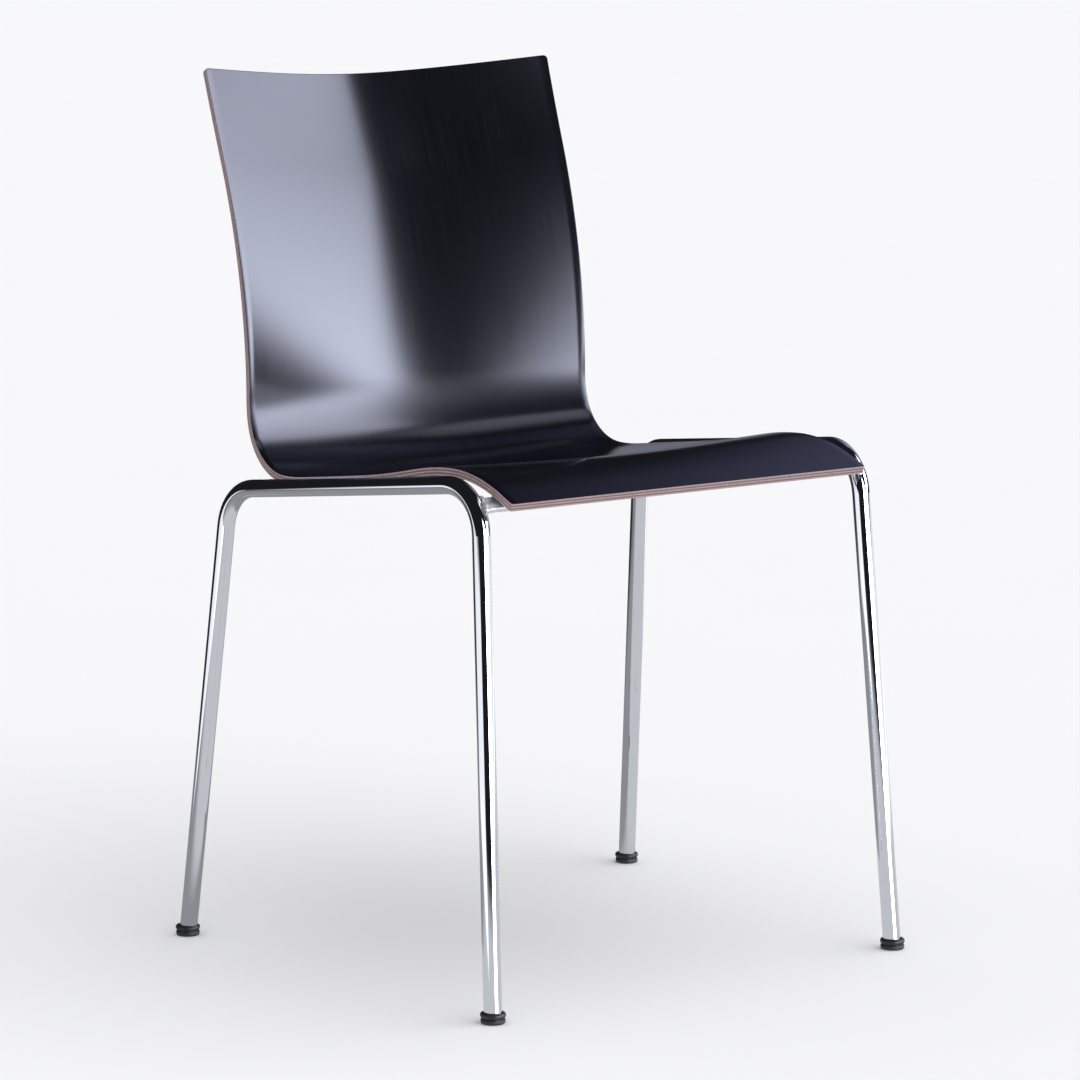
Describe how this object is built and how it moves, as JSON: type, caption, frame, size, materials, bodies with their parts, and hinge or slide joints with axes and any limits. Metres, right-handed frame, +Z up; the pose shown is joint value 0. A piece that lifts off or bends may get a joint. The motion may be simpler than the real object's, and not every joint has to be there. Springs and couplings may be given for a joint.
{
  "type": "stacking chair",
  "caption": "Armless stacking chair: a moulded plywood shell for seat and back on bent chromed tube side frames with black floor glides.",
  "frame": {"origin": "on the floor, under the centre of the chair's overall box", "axes": "+X across the chair to the right as one faces its back from the front side, -Y the way the sitter faces, +Z up"},
  "size_m": [0.5344, 0.5426, 0.7905],
  "materials": {
    "face_sheet": "blue-black stained and satin-lacquered face sheet with fine lengthwise grain",
    "long_grain_veneer": "pale pinkish beech veneer, grain along the shell, edges clear-lacquered",
    "cross_grain_veneer": "beech veneer with the grain across the shell, darker on its cut edge",
    "chromed_steel": "bright polished chrome plate on steel",
    "chromed_weld": "chromed weld metal, slightly uneven",
    "rubber_pad": "soft black rubber",
    "zinc_fastener": "bright zinc-plated steel",
    "glide_plastic": "black moulded nylon, satin",
    "glide_sole_plastic": "black moulded nylon, worn matt underneath"
  },
  "bodies": {
    "root": {"core_veneer_1": "long_grain_veneer", "core_veneer_2": "cross_grain_veneer", "core_veneer_3": "long_grain_veneer", "core_veneer_4": "cross_grain_veneer", "core_veneer_5": "long_grain_veneer", "cross_rod": "chromed_steel", "front_face_sheet": "face_sheet", "front_left_glide_collar": "glide_plastic", "front_left_glide_sole": "glide_sole_plastic", "front_left_seat_lug": "chromed_steel", "front_left_seat_pad": "rubber_pad", "front_right_glide_collar": "glide_plastic", "front_right_glide_sole": "glide_sole_plastic", "front_right_seat_lug": "chromed_steel", "front_right_seat_pad": "rubber_pad", "left_side_frame": "chromed_steel", "rear_face_sheet": "face_sheet", "rear_left_glide_collar": "glide_plastic", "rear_left_glide_sole": "glide_sole_plastic", "rear_left_seat_lug": "chromed_steel", "rear_left_seat_pad": "rubber_pad", "rear_right_glide_collar": "glide_plastic", "rear_right_glide_sole": "glide_sole_plastic", "rear_right_seat_lug": "chromed_steel", "rear_right_seat_pad": "rubber_pad", "right_side_frame": "chromed_steel", "seat_inserts": "zinc_fastener", "seat_screws": "zinc_fastener", "seat_washers": "zinc_fastener", "weld_beads": "chromed_weld"}
  },
  "joints": []
}
